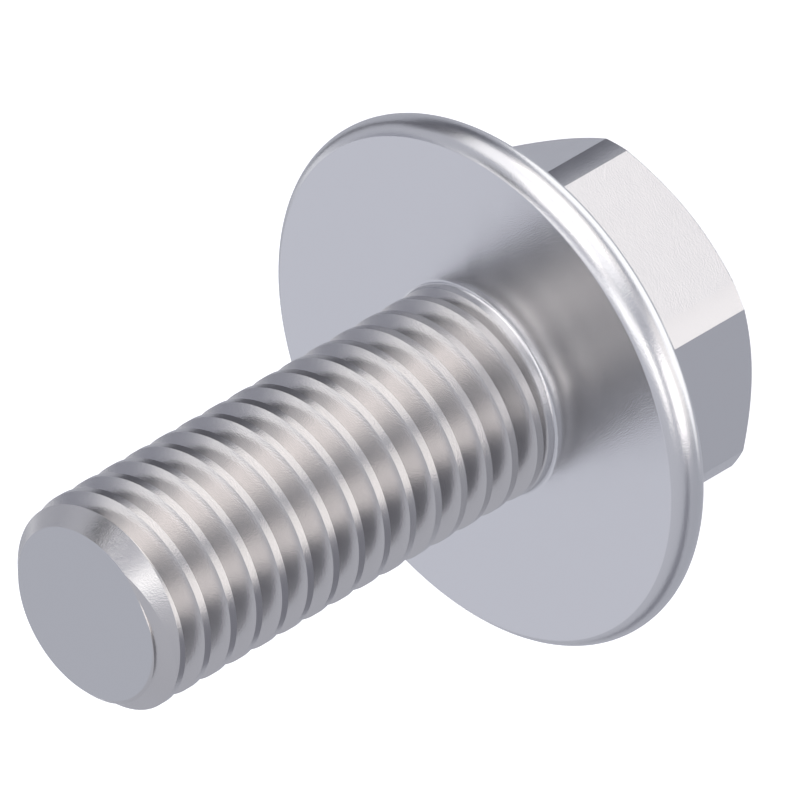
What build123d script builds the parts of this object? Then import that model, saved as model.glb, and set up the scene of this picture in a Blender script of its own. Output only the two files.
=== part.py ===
# Hexagon flange bolt, M8 x 1.25, fully threaded, forged and rolled in one piece.
# Millimetres. The bolt stands on its head: the origin is the centre of the head's top face,
# and +Z runs along the axis through the flange and the shank to the threaded tip.

import os
from math import cos, radians, sin, sqrt, tan

from build123d import *

# Thread, right-handed
thread_diameter = 8.0
thread_pitch = 1.25
crest_flat = 0.28
# Straight flanks to this depth, and a blunter valley from there to the root
flank_angle = 60.0
flank_depth = 0.33
groove_depth = 0.57
# Height of the first groove's centre above the bearing face, in the +X direction
first_groove_height = 1.38

# Shank, from the bearing face to the tip
shank_length = 19.0
neck_length = 0.365
neck_base_diameter = 8.4
tip_chamfer_length = 0.65
tip_face_diameter = 6.60

# Flange: a flat bearing face, a rounded rim and a conical back
bearing_face_diameter = 19.22
rim_thickness = 1.77
rim_centre_height = 0.78
back_slope = 20.0

# Hexagon head
head_height = 7.6
width_across_flats = 12.5
width_across_corners = 13.875
top_face_diameter = 11.9
top_chamfer_angle = 30.0
# Direction of the first corner of the hexagon, from +X
first_corner_direction = 30.0

# How far a cutting section stands outside the stock that it cuts
cutter_overlap = 0.10

crest_radius = thread_diameter / 2
rim_radius = rim_thickness / 2
bearing_edge_radius = bearing_face_diameter / 2
bearing_z = head_height
neck_z = bearing_z + neck_length
tip_z = bearing_z + shank_length
groove_start_z = bearing_z + first_groove_height - 2 * thread_pitch


def head():
    """Six flats on a turned blank, whose corners are cut by a cylinder and whose top is chamfered."""
    corner_radius = width_across_corners / 2
    top_radius = top_face_diameter / 2
    chamfer_drop = (corner_radius - top_radius) * tan(radians(top_chamfer_angle))
    with BuildPart() as blank:
        with BuildSketch(Plane.XZ):
            with BuildLine():
                Polyline(
                    (0, 0),
                    (top_radius, 0),
                    (corner_radius, chamfer_drop),
                    (corner_radius, head_height),
                    (0, head_height),
                    close=True,
                )
            make_face()
        revolve(axis=Axis.Z)
    with BuildPart() as flats:
        with BuildSketch():
            RegularPolygon(
                width_across_flats / 2, 6, major_radius=False, rotation=first_corner_direction
            )
        extrude(amount=head_height)
    return blank.part & flats.part


def flange():
    """The flange as one turned disc: the round rim runs into the cone of the back."""
    rim_reach = sqrt(rim_radius**2 - rim_centre_height**2)
    rim_centre = Vector(bearing_edge_radius - rim_reach, bearing_z - rim_centre_height)
    slope = radians(back_slope)
    back_edge = rim_centre + Vector(sin(slope), -cos(slope)) * rim_radius
    rim_outside = rim_centre + Vector(rim_radius, 0)
    hub_radius = width_across_flats / 4
    hub_z = back_edge.Y - (back_edge.X - hub_radius) * tan(slope)
    with BuildPart() as disc:
        with BuildSketch(Plane.XZ):
            with BuildLine():
                ThreePointArc((bearing_edge_radius, bearing_z), rim_outside, back_edge)
                Polyline(
                    back_edge,
                    (hub_radius, hub_z),
                    (0, hub_z),
                    (0, bearing_z),
                    (bearing_edge_radius, bearing_z),
                )
            make_face()
        revolve(axis=Axis.Z)
    return disc.part


def turned_shank():
    """The shank's outside between the neck and the tip, with the chamfer that leads the thread in."""
    with BuildPart() as rod:
        with BuildSketch(Plane.XZ):
            with BuildLine():
                Polyline(
                    (0, neck_z),
                    (crest_radius, neck_z),
                    (crest_radius, tip_z - tip_chamfer_length),
                    (tip_face_diameter / 2, tip_z),
                    (0, tip_z),
                    close=True,
                )
            make_face()
        revolve(axis=Axis.Z)
    return rod.part


def neck():
    """The short conical neck that stiffens the corner between the bearing face and the shank."""
    with BuildPart() as collar:
        with BuildSketch(Plane.XZ):
            with BuildLine():
                Polyline(
                    (0, bearing_z),
                    (neck_base_diameter / 2, bearing_z),
                    (crest_radius, neck_z),
                    (0, neck_z),
                    close=True,
                )
            make_face()
        revolve(axis=Axis.Z)
    return collar.part


def groove_section():
    """The groove between two crests: straight flanks that open out of a blunt valley."""
    mouth_half_width = (thread_pitch - crest_flat) / 2
    flank_lean = tan(radians(flank_angle / 2))
    valley_half_width = mouth_half_width - flank_depth * flank_lean
    outer_half_width = mouth_half_width + cutter_overlap * flank_lean
    plane = Plane((crest_radius, 0, groove_start_z), x_dir=(1, 0, 0), z_dir=(0, -1, 0))
    with BuildSketch(plane) as section:
        with BuildLine():
            Polyline(
                (cutter_overlap, outer_half_width),
                (-flank_depth, valley_half_width),
                (-groove_depth, 0),
                (-flank_depth, -valley_half_width),
                (cutter_overlap, -outer_half_width),
                close=True,
            )
        make_face()
    return section.sketch


def threaded_shank():
    """A right-handed groove is cut in bar that is longer than the shank, which is then turned to size."""
    groove_length = tip_z + thread_pitch - groove_start_z
    path = Helix(thread_pitch, groove_length, crest_radius, center=(0, 0, groove_start_z))
    groove = sweep(groove_section(), path=path, is_frenet=True)
    bar_length = groove_length + 2 * thread_pitch
    bar = Pos(0, 0, groove_start_z - thread_pitch) * Cylinder(
        crest_radius, bar_length, align=(Align.CENTER, Align.CENTER, Align.MIN)
    )
    return (bar - groove) & turned_shank()


def flange_bolt():
    """Head, flange and threaded shank as one solid."""
    return head() + flange() + neck() + threaded_shank()


os.makedirs("parts", exist_ok=True)
bolt = flange_bolt()
export_step(bolt, "parts/flange_bolt.step")
print("flange_bolt", bolt.solids()[0].volume, "mm3", len(bolt.faces()), "faces")
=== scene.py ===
import bpy
import numpy as np
from mathutils import Matrix, Vector


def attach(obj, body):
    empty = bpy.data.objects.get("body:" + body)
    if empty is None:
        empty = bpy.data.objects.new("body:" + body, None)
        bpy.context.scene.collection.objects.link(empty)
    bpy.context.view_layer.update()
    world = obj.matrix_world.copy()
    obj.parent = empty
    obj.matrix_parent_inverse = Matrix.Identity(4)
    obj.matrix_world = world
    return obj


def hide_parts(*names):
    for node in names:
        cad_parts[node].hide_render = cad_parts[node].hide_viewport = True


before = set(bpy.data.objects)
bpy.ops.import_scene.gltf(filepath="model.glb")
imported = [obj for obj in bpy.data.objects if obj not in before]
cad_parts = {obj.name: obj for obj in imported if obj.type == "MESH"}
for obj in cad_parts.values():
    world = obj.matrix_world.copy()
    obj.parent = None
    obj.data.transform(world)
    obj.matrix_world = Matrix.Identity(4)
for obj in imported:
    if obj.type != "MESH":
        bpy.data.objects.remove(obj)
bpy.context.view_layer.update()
print("frame loaded:", sorted(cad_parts))

scene = bpy.context.scene
mm = 0.001
fullTurn = 2 * np.pi
white = (1.0, 1.0, 1.0, 1.0)


# Mesh from rings

sameSpot = 1e-5  # mm, points that are nearer than this become one
shortestLeg = 1e-9  # mm, keeps a leg of no length from dividing by zero
largestShare = 0.45  # of a leg that one rounding may take


# One row of a turned shape: a radius and a height at each azimuth.
def ring(azimuth, radius, height):
    return np.array([np.full_like(azimuth, radius), np.full_like(azimuth, height)])


# A point stands at radius x cosine and radius x sine of its column's azimuth, at its own height.
# A row that closes at the seam goes on in itself, and one that climbs goes on in the row that
# seamRows names. Rows may fall together: their points are merged, and the faces between vanish.
def addTurned(name, azimuth, radii, heights, seamRows, sharpAngle):
    rows, columns = radii.shape
    points = np.stack([radii * np.cos(azimuth), radii * np.sin(azimuth), heights], axis=-1)
    points = points.reshape(-1, 3) * mm
    row, column = np.meshgrid(np.arange(rows - 1), np.arange(columns), indexing="ij")
    nextColumn = (column + 1) % columns
    atSeam = nextColumn == 0
    nextLow = np.where(atSeam, seamRows[row], row)
    nextHigh = np.where(atSeam, seamRows[row + 1], row + 1)
    corners = [
        row * columns + column,
        nextLow * columns + nextColumn,
        nextHigh * columns + nextColumn,
        (row + 1) * columns + column,
    ]
    quads = np.stack(corners, axis=-1).reshape(-1, 4)

    # Points in one place get one number
    places = np.round(points / (mm * sameSpot)).astype(np.int64)
    _, first, number = np.unique(places, axis=0, return_index=True, return_inverse=True)
    points = points[first]
    quads = number.reshape(-1)[quads]

    # A quad that lost one corner becomes a triangle, and one that lost more goes
    repeats = quads == np.roll(quads, -1, axis=1)
    lost = repeats.sum(axis=1)
    whole = quads[lost == 0]
    triangles = quads[lost == 1][~repeats[lost == 1]].reshape(-1, 3)
    distinct = (triangles != np.roll(triangles, -1, axis=1)).all(axis=1)
    triangles = triangles[distinct]

    mesh = bpy.data.meshes.new(name)
    mesh.from_pydata(points.tolist(), [], whole.tolist() + triangles.tolist())
    mesh.validate()
    mesh.polygons.foreach_set("use_smooth", np.ones(len(mesh.polygons), bool))
    mesh.set_sharp_from_angle(angle=np.radians(sharpAngle))
    mesh.update()
    piece = bpy.data.objects.new(name, mesh)
    scene.collection.objects.link(piece)
    shading = piece.modifiers.new("evenShading", "WEIGHTED_NORMAL")
    shading.keep_sharp = True
    print(name, len(mesh.vertices), "points", 2 * len(whole) + len(triangles), "triangles")
    return piece


# A profile's corner becomes rows of a parabola: it leaves one leg and joins the other at the
# given distance from the corner, and the corner is its control point.
def roundedCorner(before, corner, after, size, steps):
    def partWay(target):
        leg = target - corner
        length = np.maximum(np.hypot(leg[0], leg[1]), shortestLeg)
        return corner + leg * np.minimum(size / length, largestShare)

    start, end = partWay(before), partWay(after)
    share = np.linspace(0, 1, steps + 1)
    return [(1 - t) ** 2 * start + 2 * t * (1 - t) * corner + t**2 * end for t in share]


# The rows of a profile whose corners are rounded by the given sizes, or sharp where that is 0.
def profileRows(corners, sizes, steps):
    rows = [corners[0]]
    for i in range(1, len(corners) - 1):
        if sizes[i] > 0:
            rows += roundedCorner(corners[i - 1], corners[i], corners[i + 1], sizes[i], steps)
        else:
            rows.append(corners[i])
    rows.append(corners[-1])
    return rows


# The bolt

boltValues = {
    # Thread
    "crestRadius": 4.0,
    "pitch": 1.25,
    "crestFlat": 0.31,
    "flankLean": 30.0,
    "grooveDepth": 0.77,
    "firstGrooveHeight": 1.38,
    # Shank
    "shankLength": 19.0,
    "neckLength": 0.365,
    "neckFillet": 0.2,
    "chamferLength": 0.65,
    "tipFaceRadius": 3.3,
    "tipRingShare": 0.97,  # a ring inside the end face's edge keeps its shading flat
    # Flange
    "bearingEdgeRadius": 9.61,
    "bearingEdgeRounding": 0.03,
    "rimRadius": 0.885,
    "rimCentreHeight": 0.78,
    "backSlope": 20.0,
    # Head
    "headHeight": 7.6,
    "flatDistance": 6.25,
    "cornerRadius": 6.9375,
    "topFaceRadius": 5.95,
    "topChamfer": 30.0,
    "edgeRounding": 0.06,
    "hubFillet": 0.25,
    # Mesh
    "columnsOnFlat": 68,
    "columnsOnCorner": 11,
    "rimRows": 18,
    "roundingSteps": 10,
    "turnsBelow": 3,  # turns of the groove that start under the bearing face
    "sharpAngle": 12.5,
}

flatCount = 6
sector = fullTurn / flatCount


# Evenly spaced columns, with one on each upright edge of the hexagon.
def boltColumns(v):
    halfFlat = np.arccos(v["flatDistance"] / v["cornerRadius"])
    onFlat = np.linspace(-halfFlat, halfFlat, v["columnsOnFlat"] + 1)[:-1]
    onCorner = np.linspace(halfFlat, sector - halfFlat, v["columnsOnCorner"] + 1)[:-1]
    columns = np.concatenate([onFlat, onCorner])
    return np.concatenate([columns + k * fullTurn / flatCount for k in range(flatCount)])


# Heights of the neck's top and of the end face.
def shankLevels(v):
    return v["headHeight"] + v["neckLength"], v["headHeight"] + v["shankLength"]


# The rim is an arc round its centre, from the cone of the back, which it touches, to the
# bearing face's edge.
def rimArc(v):
    slope = np.radians(v["backSlope"])
    reach = np.sqrt(v["rimRadius"] ** 2 - v["rimCentreHeight"] ** 2)
    centre = np.array([v["bearingEdgeRadius"] - reach, v["headHeight"] - v["rimCentreHeight"]])
    return centre, -np.pi / 2 + slope, np.arccos(reach / v["rimRadius"])


# Point on the rim: the centre, plus the rim's radius x the cosine and sine of the angle.
def rimPoint(v, centre, angle):
    return centre + v["rimRadius"] * np.array([np.cos(angle), np.sin(angle)])


# The head's side is the flat's distance over the cosine of the angle from the flat's middle, or
# the radius that cuts the corners where that is less. Below, it ends at the cone of the chamfer,
# and above at the cone of the flange's back: each climbs by its slope x the radius.
def headRows(v, azimuth):
    slope = np.radians(v["backSlope"])
    centre, start, _ = rimArc(v)
    backEdge = rimPoint(v, centre, start)
    fromFlat = (azimuth + sector / 2) % sector - sector / 2
    side = np.minimum(v["flatDistance"] / np.cos(fromFlat), v["cornerRadius"])
    chamferHeight = (side - v["topFaceRadius"]) * np.tan(np.radians(v["topChamfer"]))
    hubHeight = backEdge[1] - (backEdge[0] - side) * np.tan(slope)
    corners = [
        ring(azimuth, 0, 0),
        ring(azimuth, v["topFaceRadius"], 0),
        ring(azimuth, side, chamferHeight),
        ring(azimuth, side, hubHeight),
        ring(azimuth, *backEdge),
    ]
    sizes = [0, v["edgeRounding"], v["edgeRounding"], v["hubFillet"], 0]
    return profileRows(corners, sizes, v["roundingSteps"])


# One row for each point of the arc between its two ends.
def rimRows(v, azimuth):
    centre, start, end = rimArc(v)
    angles = np.linspace(start, end, v["rimRows"] + 1)[1:-1]
    return [ring(azimuth, *rimPoint(v, centre, angle)) for angle in angles]


# From the rim over the flat bearing face, and by a fillet up the neck.
def neckRows(v, azimuth, lastRim):
    corners = [
        lastRim,
        ring(azimuth, v["bearingEdgeRadius"], v["headHeight"]),
        ring(azimuth, v["crestRadius"], v["headHeight"]),
        ring(azimuth, v["crestRadius"], shankLevels(v)[0]),
    ]
    sizes = [0, v["bearingEdgeRounding"], v["neckFillet"], 0]
    return profileRows(corners, sizes, v["roundingSteps"])[1:]


# How far a flank falls for each mm along the axis, and half the width of the groove's mouth.
def grooveShape(v):
    return 1 / np.tan(np.radians(v["flankLean"])), (v["pitch"] - v["crestFlat"]) / 2


# Radius of the thread: the groove's centre climbs one pitch a turn with the azimuth, and its
# straight flanks fall from both crests to a narrow flat root.
def threadRadius(v, azimuth, height):
    steep, mouth = grooveShape(v)
    climb = v["headHeight"] + v["firstGrooveHeight"] + v["pitch"] * azimuth / fullTurn
    phase = (height - climb) / v["pitch"]
    distance = np.abs(phase - np.round(phase)) * v["pitch"]
    return v["crestRadius"] - np.clip(steep * (mouth - distance), 0, v["grooveDepth"])


# Rows climb along both edges of the groove's root and of its mouth. Others stand where a cone cuts
# a flank or the root: the one on which the groove runs out at the neck, and the one of the tip.
# Each column is sorted by height. Its radius is the thread's, at least the neck's cone, at most
# the tip's: the crest's radius, less the cone's slope x the height above its foot.
def threadRows(v, azimuth):
    neckTop, tip = shankLevels(v)
    chamferFoot = tip - v["chamferLength"]
    steep, mouth = grooveShape(v)
    taper = (v["crestRadius"] - v["tipFaceRadius"]) / v["chamferLength"]
    root = mouth - v["grooveDepth"] / steep
    turns = np.arange(-v["turnsBelow"], int(v["shankLength"] / v["pitch"]) + 1)[:, None]
    centres = v["headHeight"] + v["firstGrooveHeight"] + v["pitch"] * (azimuth / fullTurn + turns)
    falling = (steep * (centres - mouth) - taper * chamferFoot) / (steep - taper)
    rising = (steep * (centres + mouth) + taper * chamferFoot) / (steep + taper)
    runOut = (neckTop + centres + mouth) / 2
    rows = [centres + offset for offset in (-mouth, -root, root, mouth)]
    rows.append(np.clip(falling, centres - mouth, centres - root))
    rows.append(np.clip(rising, centres + root, centres + mouth))
    rows.append(np.clip(runOut, centres + root, centres + mouth))
    rowsPerTurn = len(rows)
    coneLevels = np.array([
        neckTop + v["grooveDepth"] / steep,
        chamferFoot,
        chamferFoot + v["grooveDepth"] / taper,
    ])
    rows.append(coneLevels[:, None] * np.ones_like(azimuth))
    heights = np.sort(np.clip(np.concatenate(rows), neckTop, tip), axis=0)
    neckCone = v["crestRadius"] - steep * (heights - neckTop)
    tipCone = v["crestRadius"] - taper * (heights - chamferFoot)
    radii = np.maximum(threadRadius(v, azimuth, heights), neckCone)
    return np.minimum(radii, tipCone), heights, rowsPerTurn


def makeBolt(v):
    azimuth = boltColumns(v)
    tip = shankLevels(v)[1]
    rim = rimRows(v, azimuth)
    lower = np.stack(headRows(v, azimuth) + rim + neckRows(v, azimuth, rim[-1]))
    threadRadii, threadHeights, rowsPerTurn = threadRows(v, azimuth)
    endRing = np.minimum(v["tipFaceRadius"], threadRadii[-1]) * v["tipRingShare"]
    endRows = np.stack([ring(azimuth, endRing, tip), ring(azimuth, 0, tip)])
    radii = np.concatenate([lower[:, 0], threadRadii, endRows[:, 0]])
    heights = np.concatenate([lower[:, 1], threadHeights, endRows[:, 1]])

    # The thread's rows go on one turn higher at the seam
    seamRows = np.arange(len(radii))
    inThread = slice(len(lower), len(lower) + len(threadRadii))
    seamRows[inThread] = np.minimum(seamRows[inThread] + rowsPerTurn, seamRows[inThread][-1])
    return addTurned("flangeBolt", azimuth, radii, heights, seamRows, v["sharpAngle"])


bolt = makeBolt(boltValues)


# Surfaces

grainValues = {
    "cloudScale": 900.0,  # patches a metre
    "cloudDetail": 3.0,
    "speckScale": 17500.0,
    "speckDetail": 2.0,
    "noiseMiddle": 0.5,
}


# Satin grain, on the piece's own coordinates: a coarse cloud swings the roughness by Spread, and
# fine specks are the height.
def makeGrain(v):
    group = bpy.data.node_groups.new("fineGrain", "ShaderNodeTree")
    face = group.interface
    face.new_socket("Coordinates", in_out="INPUT", socket_type="NodeSocketVector")
    for way, name in (
        ("INPUT", "Roughness"), ("INPUT", "Spread"), ("OUTPUT", "Roughness"), ("OUTPUT", "Height")
    ):
        face.new_socket(name, in_out=way, socket_type="NodeSocketFloat")
    nodes, links = group.nodes, group.links
    start = nodes.new("NodeGroupInput")
    end = nodes.new("NodeGroupOutput")

    def addNoise(scale, detail):
        noise = nodes.new("ShaderNodeTexNoise")
        noise.inputs["Scale"].default_value = scale
        noise.inputs["Detail"].default_value = detail
        links.new(start.outputs["Coordinates"], noise.inputs["Vector"])
        return noise

    cloud = addNoise(v["cloudScale"], v["cloudDetail"])
    speck = addNoise(v["speckScale"], v["speckDetail"])
    swing = nodes.new("ShaderNodeMath")
    swing.operation = "SUBTRACT"
    swing.inputs[1].default_value = v["noiseMiddle"]
    scaled = nodes.new("ShaderNodeMath")
    scaled.operation = "MULTIPLY_ADD"
    links.new(cloud.outputs[0], swing.inputs[0])
    links.new(swing.outputs[0], scaled.inputs[0])
    links.new(start.outputs["Spread"], scaled.inputs[1])
    links.new(start.outputs["Roughness"], scaled.inputs[2])
    links.new(scaled.outputs[0], end.inputs["Roughness"])
    links.new(speck.outputs[0], end.inputs["Height"])
    return group


# The thread's steel is the head's steel made darker and warmer, as painted shade and warm light
# for its shaded grooves. The end face's steel is made darker, as painted shade.
steelValues = {
    "headSteel": (0.64, 0.64, 0.652, 1.0),
    # painted shade and warm light: a darker, warmer copy of the head's steel for the thread
    "threadSteelWarmPaintedShade": (0.564, 0.555, 0.554, 1.0),
    # painted shade: a darker copy of the head's steel for the end face
    "endFaceSteelPaintedShade": (0.496, 0.50, 0.508, 1.0),
    "roughness": 0.24,
    "spread": 0.10,
    "bump": 0.8,
    "bumpDepth": 0.0075,
    "endFaceDepth": 0.001,  # faces within this of the tip are the end face
}


def makeSteel(v, name, grainGroup):
    material = bpy.data.materials.new(name)
    material.use_nodes = True
    nodes, links = material.node_tree.nodes, material.node_tree.links
    shader = nodes["Principled BSDF"]
    shader.inputs["Base Color"].default_value = v[name]
    shader.inputs["Metallic"].default_value = 1.0
    where = nodes.new("ShaderNodeTexCoord")
    grain = nodes.new("ShaderNodeGroup")
    grain.node_tree = grainGroup
    grain.inputs["Roughness"].default_value = v["roughness"]
    grain.inputs["Spread"].default_value = v["spread"]
    bump = nodes.new("ShaderNodeBump")
    bump.inputs["Strength"].default_value = v["bump"]
    bump.inputs["Distance"].default_value = v["bumpDepth"] * mm
    links.new(where.outputs["Object"], grain.inputs["Coordinates"])
    links.new(grain.outputs["Roughness"], shader.inputs["Roughness"])
    links.new(grain.outputs["Height"], bump.inputs["Height"])
    links.new(bump.outputs["Normal"], shader.inputs["Normal"])
    return material


# Faces over the neck take the thread's steel, and those at the tip's height the end face's. Both
# are darker copies of the head's steel that paint shade on them.
def paintBolt(piece, v, neckTop, tip):
    grainGroup = makeGrain(grainValues)
    for name in ("headSteel", "threadSteelWarmPaintedShade", "endFaceSteelPaintedShade"):
        piece.data.materials.append(makeSteel(v, name, grainGroup))
    centres = np.empty(len(piece.data.polygons) * 3)
    piece.data.polygons.foreach_get("center", centres)
    heights = centres.reshape(-1, 3)[:, 2] / mm
    slot = (heights > neckTop).astype(np.int32) + (heights > tip - v["endFaceDepth"])
    piece.data.polygons.foreach_set("material_index", slot)


paintBolt(bolt, steelValues, *shankLevels(boltValues))
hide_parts("flange_bolt")
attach(bolt, "root")
print("steel done")


# Floor, world and lamps

stageValues = {
    "floorSize": 6000.0,
    "floorColour": (0.70, 0.71, 0.73, 1.0),
    "floorForCamera": 0.80,  # glow that the camera alone sees
    "worldAbove": (0.669, 0.679, 0.744, 1.0),
    "worldBelow": (0.528, 0.540, 0.600, 1.0),
    "worldRise": (-0.5, 0.9),  # sines of the elevations between which it brightens
    "softboxDistance": 600.0,
    "softboxTarget": 13.0,  # height on the axis
    "cardBlue": 1.06,  # blue of a grey card, as a share of its grey
}

# A flag is a grey card that only the metal sees. It faces a point on the axis:
# azimuth, elevation, distance, width, height, the point's height, grey.
flagValues = {
    "flagUpper": (147, -17, 500, 236, 530, 0, 0.33),
    "flagTip": (128, 46, 150, 44, 40, 26, 0.06),
    "flagTipGrey": (82, 55, 150, 92, 26, 26, 1.0),
    "flagBack": (180, 34, 500, 200, 200, 0, 0.76),
}

# A wing is such a card beside the flange. It leans outward, where the shank sees it and the head
# does not: azimuth, width, distance from the axis and height of its inner end, the same of its
# outer end, grey.
wingValues = {
    "wingLower": (-44, 27, 13.5, 6.5, 45, 15.0, 0.46),
    "wingUpper": (143, 18, 13, 6.2, 33, 6.2, 0.22),
}

# A softbox is a lamp that only the metal sees, aimed at the bolt's middle:
# azimuth, elevation, half width and half height as seen from there, brightness, colour.
softboxValues = {
    "softboxFar": (91, 1, 42, 25, 0.92, (1.0, 0.97, 0.94)),
    "softboxFarLow": (87, -17, 20, 10, 1.80, (1.0, 0.91, 0.85)),
    "softboxFarHigh": (86, 22, 18, 7, 0.55, (1.0, 0.95, 0.90)),
    "softboxLow": (84, -36, 27, 7.5, 1.02, (1.0, 0.94, 0.87)),
    "softboxTop": (95, 66, 34, 9, 1.05, (1.0, 0.97, 0.93)),
    "softboxEdge": (35, 52, 13, 13, 0.60, (1.0, 0.99, 0.97)),
    "softboxSide": (6, -10, 17, 18, 1.70, (1.0, 0.94, 0.90)),
    "softboxSideLow": (11, -40, 19, 13, 0.83, (1.0, 0.93, 0.85)),
    "softboxMiddle": (45, -21, 19, 6, 0.28, (1.0, 0.95, 0.92)),
    "softboxBelow": (62, -83, 33, 21, 1.15, (1.0, 0.99, 0.97)),
    "softboxRiseSide": (12, 35, 13, 9, 1.5, (1.0, 0.95, 0.90)),
    "softboxRiseFar": (86, 35, 18, 9, 1.4, (1.0, 0.95, 0.90)),
    "softboxRise": (48, 34, 20, 9, 0.5, (1.0, 0.95, 0.90)),
    "softboxBack": (-134, -18, 7, 7, 0.75, (1.0, 0.99, 0.97)),
    "softboxSliver": (-162, 8, 5, 14, 0.40, (1.0, 0.99, 0.97)),
    "softboxFront": (-135, 40, 27, 27, 0.14, (0.93, 0.95, 1.08)),
}


def makeMatte(name, colour):
    material = bpy.data.materials.new(name)
    material.use_nodes = True
    shader = material.node_tree.nodes["Principled BSDF"]
    shader.inputs["Base Color"].default_value = colour
    shader.inputs["Roughness"].default_value = 1.0
    shader.inputs["Specular IOR Level"].default_value = 0.0
    return material


# A flat sheet: each corner is its middle, plus or minus half its width and half its height.
def addSheet(name, middle, along, up, material):
    corners = np.array([-along - up, along - up, along + up, -along + up]) + middle
    mesh = bpy.data.meshes.new(name)
    mesh.from_pydata((corners * mm).tolist(), [], [(0, 1, 2, 3)])
    mesh.materials.append(material)
    sheet = bpy.data.objects.new(name, mesh)
    scene.collection.objects.link(sheet)
    return sheet


# The floor is as pale as the background by a glow that the camera alone sees, and lights nothing.
def makeFloor(v):
    material = makeMatte("paleFloor", v["floorColour"])
    nodes, links = material.node_tree.nodes, material.node_tree.links
    shader = nodes["Principled BSDF"]
    shader.inputs["Emission Color"].default_value = white
    path = nodes.new("ShaderNodeLightPath")
    strength = nodes.new("ShaderNodeMath")
    strength.operation = "MULTIPLY"
    strength.inputs[1].default_value = v["floorForCamera"]
    links.new(path.outputs["Is Camera Ray"], strength.inputs[0])
    links.new(strength.outputs[0], shader.inputs["Emission Strength"])
    half = v["floorSize"] / 2
    along, up = np.array([half, 0, 0]), np.array([0, half, 0])
    floor = addSheet("floor", np.zeros(3), along, up, material)
    floor.visible_glossy = False


def addCard(name, middle, along, up, grey):
    material = makeMatte(name, (grey, grey, grey * stageValues["cardBlue"], 1.0))
    card = addSheet(name, middle, along, up, material)
    card.visible_camera = False
    card.visible_diffuse = False
    card.visible_shadow = False


# Unit vector toward an azimuth and an elevation, both in radians.
def skyDirection(a, e):
    return np.array([np.cos(a) * np.cos(e), np.sin(a) * np.cos(e), np.sin(e)])


def makeFlags():
    for name, (azimuth, elevation, distance, width, height, level, grey) in flagValues.items():
        a, e = np.radians(azimuth), np.radians(elevation)
        middle = skyDirection(a, e) * distance + np.array([0, 0, level])
        along = np.array([-np.sin(a), np.cos(a), 0]) * width / 2
        up = np.array([-np.cos(a) * np.sin(e), -np.sin(a) * np.sin(e), np.cos(e)]) * height / 2
        addCard(name, middle, along, up, grey)


def makeWings():
    for name, (azimuth, width, near, nearHeight, far, farHeight, grey) in wingValues.items():
        a = np.radians(azimuth)
        inner = np.array([np.cos(a) * near, np.sin(a) * near, nearHeight])
        outer = np.array([np.cos(a) * far, np.sin(a) * far, farHeight])
        along = np.array([-np.sin(a), np.cos(a), 0]) * width / 2
        addCard(name, (inner + outer) / 2, along, (outer - inner) / 2, grey)


# The world is white to the camera, and to all else it brightens from below to above.
def makeWorld(v):
    world = bpy.data.worlds.new("studio")
    scene.world = world
    world.use_nodes = True
    nodes, links = world.node_tree.nodes, world.node_tree.links
    background = nodes["Background"]
    where = nodes.new("ShaderNodeTexCoord")
    split = nodes.new("ShaderNodeSeparateXYZ")
    level = nodes.new("ShaderNodeMapRange")
    level.inputs["From Min"].default_value = v["worldRise"][0]
    level.inputs["From Max"].default_value = v["worldRise"][1]
    shade = nodes.new("ShaderNodeMix")
    shade.data_type = "RGBA"
    shade.inputs["A"].default_value = v["worldBelow"]
    shade.inputs["B"].default_value = v["worldAbove"]
    path = nodes.new("ShaderNodeLightPath")
    seen = nodes.new("ShaderNodeMix")
    seen.data_type = "RGBA"
    seen.inputs["B"].default_value = white
    links.new(where.outputs["Generated"], split.inputs[0])
    links.new(split.outputs["Z"], level.inputs["Value"])
    links.new(level.outputs["Result"], shade.inputs["Factor"])
    links.new(shade.outputs["Result"], seen.inputs["A"])
    links.new(path.outputs["Is Camera Ray"], seen.inputs["Factor"])
    links.new(seen.outputs["Result"], background.inputs["Color"])


# A lamp's power is its brightness x pi x its area.
def addLamp(name, place, target, width, height, brightness, colour):
    data = bpy.data.lights.new(name, "AREA")
    data.shape = "RECTANGLE"
    data.size, data.size_y = width, height
    data.energy = brightness * np.pi * width * height
    data.color = colour
    lamp = bpy.data.objects.new(name, data)
    lamp.location = place
    lamp.rotation_euler = (place - target).to_track_quat("Z", "Y").to_euler()
    lamp.visible_camera = False
    lamp.visible_diffuse = False
    scene.collection.objects.link(lamp)


def makeLamps(v):
    target = Vector((0, 0, v["softboxTarget"] * mm))
    distance = v["softboxDistance"] * mm
    for name, (azimuth, elevation, halfWidth, halfHeight, *light) in softboxValues.items():
        away = Vector(skyDirection(np.radians(azimuth), np.radians(elevation)))
        width = 2 * distance * np.tan(np.radians(halfWidth))
        height = 2 * distance * np.tan(np.radians(halfHeight))
        addLamp(name, target + away * distance, target, width, height, *light)


makeFloor(stageValues)
makeFlags()
makeWings()
makeWorld(stageValues)
makeLamps(stageValues)
print("stage done")


# Camera

cameraValues = {
    "lens": 1600.0,
    "sensor": 36.0,
    "middle": (-0.680, 0.680, 10.572),
    "frameWidth": 27.78,
    "direction": (1.0, 1.0, 1.0),
    "imageUp": (0.0, 1.0, 0.0),
    "clipNear": 0.05,  # of the camera's distance
    "clipFar": 20.0,
}


# The camera stands in the given direction from the middle, where the frame is as wide as given.
def makeCamera(v):
    data = bpy.data.cameras.new("camera")
    data.lens = v["lens"]
    data.sensor_width = v["sensor"]
    back = Vector(v["direction"]).normalized()
    up = Vector(v["imageUp"])
    up = (up - back * up.dot(back)).normalized()
    right = up.cross(back)
    distance = v["frameWidth"] * mm * v["lens"] / v["sensor"]
    data.clip_start = distance * v["clipNear"]
    data.clip_end = distance * v["clipFar"]
    camera = bpy.data.objects.new("camera", data)
    axes = Matrix((right, up, back)).transposed().to_4x4()
    camera.matrix_world = Matrix.Translation(Vector(v["middle"]) * mm + back * distance) @ axes
    scene.collection.objects.link(camera)
    scene.camera = camera


makeCamera(cameraValues)
scene.view_settings.view_transform = "Standard"
